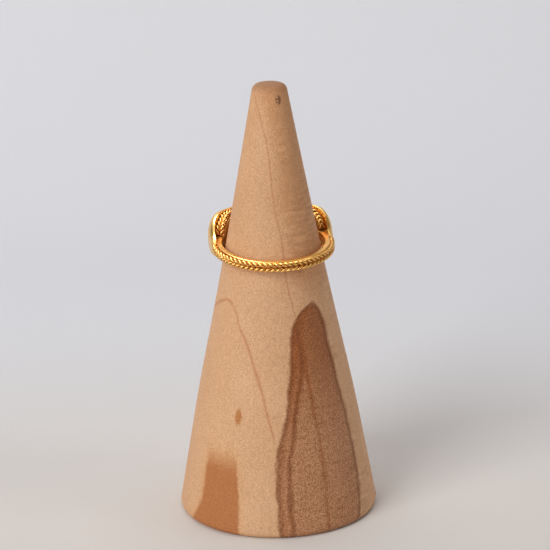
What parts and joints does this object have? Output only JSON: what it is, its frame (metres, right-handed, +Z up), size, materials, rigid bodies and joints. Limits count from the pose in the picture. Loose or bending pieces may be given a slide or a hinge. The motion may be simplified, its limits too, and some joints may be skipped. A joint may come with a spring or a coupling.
{
  "type": "ring on a wooden ring cone",
  "caption": "Gold ring with a twisted-wire herringbone shank and a smooth domed oblong head, resting on a turned wooden display cone.",
  "frame": {"origin": "middle of the cone's base, on the surface that it stands on", "axes": "+Z up the cone's axis, +X to the viewer's right, +Y away from the viewer, to the side where the ring's head lies"},
  "size_m": [0.0326, 0.0326, 0.0713],
  "materials": {
    "wood": "fine sanded, unvarnished",
    "gold": "polished, softly worn",
    "twisted_gold": "polished twisted wire, darker in its hollows"
  },
  "bodies": {
    "root": {"ring_cone": "wood", "ring_body": "gold", "shank_twist_upper": "twisted_gold", "shank_twist_lower": "twisted_gold", "gallery_upper_inner": "twisted_gold", "gallery_upper_outer": "twisted_gold", "gallery_lower_inner": "twisted_gold", "gallery_lower_outer": "twisted_gold"}
  },
  "joints": []
}
